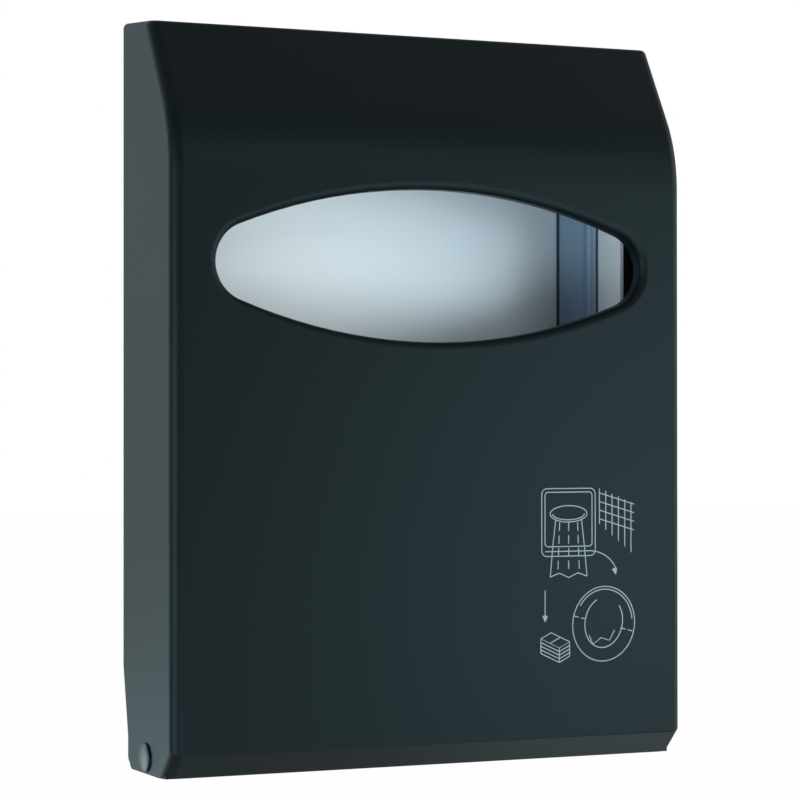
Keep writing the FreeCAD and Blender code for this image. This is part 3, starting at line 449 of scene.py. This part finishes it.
def rounded_box(left, low, right, high, radius):
    """A closed box with round corners, from its top right corner round to the left."""
    points = []
    for quarter, (across, upward) in enumerate((
            (right - radius, high - radius), (left + radius, high - radius),
            (left + radius, low + radius), (right - radius, low + radius))):
        points += arc((across, upward), (radius, radius), 90 * quarter, 90 * quarter + 90, 6)
    line(points, closed=True)


print("an arc has", len(arc((0, 0), (1, 1), 0, 90)), "points unless told otherwise")

# %% Dashes and arrow heads
ARROW_LENGTH = 2.6


def dashes(points):
    """Draws two steps in every three of a long row of points."""
    for first in range(0, len(points) - 2, 3):
        line(points[first:first + 3])


def arrow_head(tip, heading):
    """A filled arrow head: lines side by side that fan out from its tip."""
    for turn in range(-24, 25, 8):
        angle = math.radians(heading + 180 + turn)
        line([tip, (tip[0] + ARROW_LENGTH * math.cos(angle),
                    tip[1] + ARROW_LENGTH * math.sin(angle))])


print("arrow heads are", ARROW_LENGTH, "mm long")

# %% Draw the dispenser with its sheet
rounded_box(47.5, 84.5, 72.5, 112.5, 2.4)
rounded_box(49.0, 88.5, 71.0, 111.0, 1.4)
line([(49.0, 86.5), (71.0, 86.5)])
ring((60, 102), (8.6, 3.4), 48)
line(arc((60, 102), (7.4, 2.5), 180, 360, 30))
line([(54.0, 100.0), (52.6, 88.5), (51.4, 76.0)])
line([(66.0, 100.0), (67.4, 88.5), (68.6, 76.0)])
line([(51.4, 76.0), (55.6, 77.5), (60.0, 75.6), (64.4, 77.5), (68.6, 76.0)])
for fold in (55.8, 60.0, 64.2):
    lean = (fold - 60.0) * 0.2
    dashes([(fold + lean * step / 12, 98.4 - 1.75 * step) for step in range(13)])
print("dispenser and sheet:", len(drawing.splines), "lines")

# %% Draw the tiles beside it
for step in range(6):
    line([(74.5 + 3.0 * step, 112.5 - 1.2 * step), (74.5 + 3.0 * step, 97.5 - 2.4 * step)])
for step in range(4):
    line([(74.5, 110.5 - 3.6 * step), (91.0, 105.6 - 3.6 * step)])
print("with the tiles:", len(drawing.splines), "lines")

# %% Draw the way it goes and the opened sheet
line(arc((69.5, 75.0), (13.5, 11.5), 84, 18, 24))
arrow_head((82.2, 76.6), -76)
SHEET_TURN = -14
ring((76.5, 56.0), (14.6, 15.6), 72, SHEET_TURN)
line(arc((76.5, 56.0), (13.4, 14.4), 20, 160, 36, SHEET_TURN))
line(arc((76.5, 56.6), (8.8, 10.6), -232, 52, 56, SHEET_TURN))
line([(69.6, 51.4), (71.4, 47.6), (75.2, 50.2), (79.2, 49.0), (81.6, 53.2)])
dashes([(62.4 + 1.15 * step, 59.6 - 0.29 * step) for step in range(6)])
dashes([(84.4 + 1.15 * step, 54.0 - 0.29 * step) for step in range(6)])
print("with the opened sheet:", len(drawing.splines), "lines")

# %% Draw the refill pack
for step in range(5):
    rise = 1.5 * step
    line([(47.0, 44.6 + rise), (55.6, 40.6 + rise), (60.4, 43.0 + rise)])
line([(47.0, 44.6), (47.0, 50.6), (51.8, 53.0), (60.4, 49.0), (60.4, 43.0)])
line([(47.0, 50.6), (55.6, 46.6), (60.4, 49.0)])
line([(55.6, 46.6), (55.6, 40.6)])
line([(51.3, 48.6), (56.1, 51.0)])
line([(49.0, 70.5), (49.0, 59.5)])
arrow_head((49.0, 57.6), -90)
print("with the pack:", len(drawing.splines), "lines")

# %% Press the lines flat on the cover
drawn_lines = bpy.data.objects.new("drawn_lines", drawing)
bpy.context.scene.collection.objects.link(drawn_lines)
bpy.context.view_layer.update()
shaped = drawn_lines.evaluated_get(bpy.context.evaluated_depsgraph_get())
flat = bpy.data.meshes.new_from_object(shaped)
bpy.data.objects.remove(drawn_lines)
press = Matrix.Diagonal((1, 2 * INK_RISE / INK_WIDTH, 1, 1))
flat.transform(Matrix.Translation((0, FRONT, 0)) @ press)
pictogram = bpy.data.objects.new("pictogram", flat)
bpy.context.scene.collection.objects.link(pictogram)
dress(pictogram, ink)
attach(pictogram, "cover")
print("pictogram faces:", len(flat.polygons))

# %% [markdown]
# ## Camera
# The photograph is taken from the left of the object, almost level with it and with a long
# lens. The lens and the place come from the object's outline in the photograph.

# %% Camera
CAMERA_PLACE = (-0.48348, -1.08517, -0.01411)
CAMERA_PITCH, CAMERA_YAW, CAMERA_ROLL = 0.411, -24.479, -0.039
eye = bpy.data.cameras.new("camera")
eye.lens = 125.735
eye.sensor_width = 36.0
camera = bpy.data.objects.new("camera", eye)
bpy.context.scene.collection.objects.link(camera)
camera.matrix_world = (Matrix.Translation(CAMERA_PLACE)
                       @ Matrix.Rotation(math.radians(CAMERA_YAW), 4, "Z")
                       @ Matrix.Rotation(math.radians(90 + CAMERA_PITCH), 4, "X")
                       @ Matrix.Rotation(math.radians(CAMERA_ROLL), 4, "Z"))
bpy.context.scene.camera = camera
print("camera at", CAMERA_PLACE, "with a lens of %.1f mm" % eye.lens)

# %% [markdown]
# ## Floor
# The object hangs on a wall, so the plain pale floor lies well below it. The picture's
# background is white, and that whiteness must not light the object. So the floor and the room
# shine white only for rays that end at the eye. A mirror sees them half as bright, as in a room
# with walls round it, so that the metal parts have something pale to show.

# %% Rays that end at the eye
MIRROR_SHARE = 0.5


def shown(tree):
    """1 for rays that come straight to the eye or through a clear piece, less by a mirror."""
    paths = tree.nodes.new("ShaderNodeLightPath")
    straight, mirrored, clear = (Signal(tree, paths.outputs["Is %s Ray" % kind])
                                 for kind in ("Camera", "Glossy", "Transmission"))
    seen = straight.math("MAXIMUM", straight, MIRROR_SHARE * mirrored)
    return seen.math("MAXIMUM", seen, clear)


print("mirrors see the background at", MIRROR_SHARE)

# %% Floor
FLOOR_HALF, FLOOR_DROP = 30.0, 1.1
FLOOR_WHITE = 0.99
mesh = bmesh.new()
bmesh.ops.create_grid(mesh, x_segments=1, y_segments=1, size=FLOOR_HALF)
bmesh.ops.translate(mesh, vec=(0, 0, -FLOOR_DROP), verts=mesh.verts)
pale = Finish("pale_floor", (0.82, 0.83, 0.83), 0.8)
floor = finish_piece(mesh, "floor", pale, smooth=False)
white = pale.start.node("ShaderNodeEmission", {}, {})
mix = pale.start.node("ShaderNodeMixShader", {}, {
    0: FLOOR_WHITE * shown(pale.tree), 1: Signal(pale.tree, pale.shader.outputs[0]), 2: white})
pale.tree.links.new(mix.socket, pale.tree.nodes["Material Output"].inputs[0])

# %% [markdown]
# ## Light
# A black cover shows little but reflections, so each lamp is a soft box with a place and a task
# of its own, where one big lamp would turn the whole cover grey. Some make the front fade from
# dark on the left to lighter on the right and fill the tray. The others lift one part each: an
# edge, the bevel, the rolled lip or the side. The room itself gives only a weak even light.

# %% Surroundings
ROOM = 0.10
world = bpy.data.worlds.new("studio")
bpy.context.scene.world = world
world.use_nodes = True
back = world.node_tree.nodes["Background"]
eye_share = shown(world.node_tree)
strength = eye_share + ROOM * (1 - eye_share)
world.node_tree.links.new(strength.socket, back.inputs["Strength"])
back.inputs["Color"].default_value = (1, 1, 1, 1)
print("the room's own light:", ROOM)

# %% A soft box
def softbox(name, place, aim, size, brightness, colour):
    """A rectangular lamp whose face shines with a given brightness, where 1 is white."""
    width, length = size
    data = bpy.data.lights.new(name, "AREA")
    data.shape = "RECTANGLE"
    data.size, data.size_y = size
    data.energy = math.pi * width * length * brightness
    data.color = colour
    lamp = bpy.data.objects.new(name, data)
    bpy.context.scene.collection.objects.link(lamp)
    lamp.location = place
    lamp.rotation_euler = (Vector(aim) - Vector(place)).to_track_quat("-Z", "Y").to_euler()
    lamp.visible_camera = False
    print(name, "brightness", brightness)


print("one square metre of a lamp needs %.2f W to look white" % math.pi)

# %% Lamps
DAYLIGHT = (0.78, 0.91, 1.0)
PALE_DAYLIGHT = (0.88, 0.98, 1.0)
COOL_DAYLIGHT = (0.60, 0.93, 1.0)
LAMPS = (
    # Low in front: most of what the tray mirrors, the ink, and a little over the whole front.
    ("key_lamp", (-0.299, -1.457, -0.661), (0, -0.05, 0.04), (1.10, 0.80), 3.7, DAYLIGHT),
    # The rounded left edge of the front and, through the opening, the tray's right side wall.
    ("left_lamp", (-1.10, -0.45, -0.12), (0.10, -0.02, 0.05), (0.80, 0.60), 4.5, DAYLIGHT),
    # Two on the right: the fade over the front, and the left part of the tray.
    ("near_lamp", (0.42, -0.50, -0.075), (0.05, -0.06, -0.04), (0.25, 0.42), 2.8, PALE_DAYLIGHT),
    ("front_lamp", (0.31, -0.60, -0.09), (0.05, -0.06, -0.04), (0.20, 0.30), 2.8, PALE_DAYLIGHT),
    # The blend between the front and the slope.
    ("high_lamp", (0.55, -1.25, 0.55), (0, -0.06, 0.08), (0.60, 0.30), 3.0, PALE_DAYLIGHT),
    # The rounded right edge.
    ("right_lamp", (0.90, -0.25, 0), (0.11, 0, 0), (0.50, 1.20), 1.9, PALE_DAYLIGHT),
    # The bevel along the bottom, at its right end.
    ("low_lamp", (0.25, -0.09, -0.47), (0.05, -0.055, -0.155), (0.18, 0.18), 2.0, PALE_DAYLIGHT),
    # The roll of the opening's lip.
    ("lip_lamp", (0.30, -0.67, -0.53), (0.03, -0.055, 0.07), (0.25, 0.25), 5.0, PALE_DAYLIGHT),
    # Two behind on the left graze the side: first its upper part, then its foot and the pin.
    ("side_lamp", (-0.52, 0.50, 0.15), (-0.11, 0, 0), (0.45, 1.10), 1.0, COOL_DAYLIGHT),
    ("side_low_lamp", (-0.48, 0.50, -0.34), (-0.11, 0, -0.12), (0.40, 0.30), 1.8, COOL_DAYLIGHT),
)
for lamp_row in LAMPS:
    softbox(*lamp_row)

# %% [markdown]
# ## Finish
# The view transform is set to Standard so that colours come out as they are written.

# %% Finish
bpy.context.scene.view_settings.view_transform = "Standard"
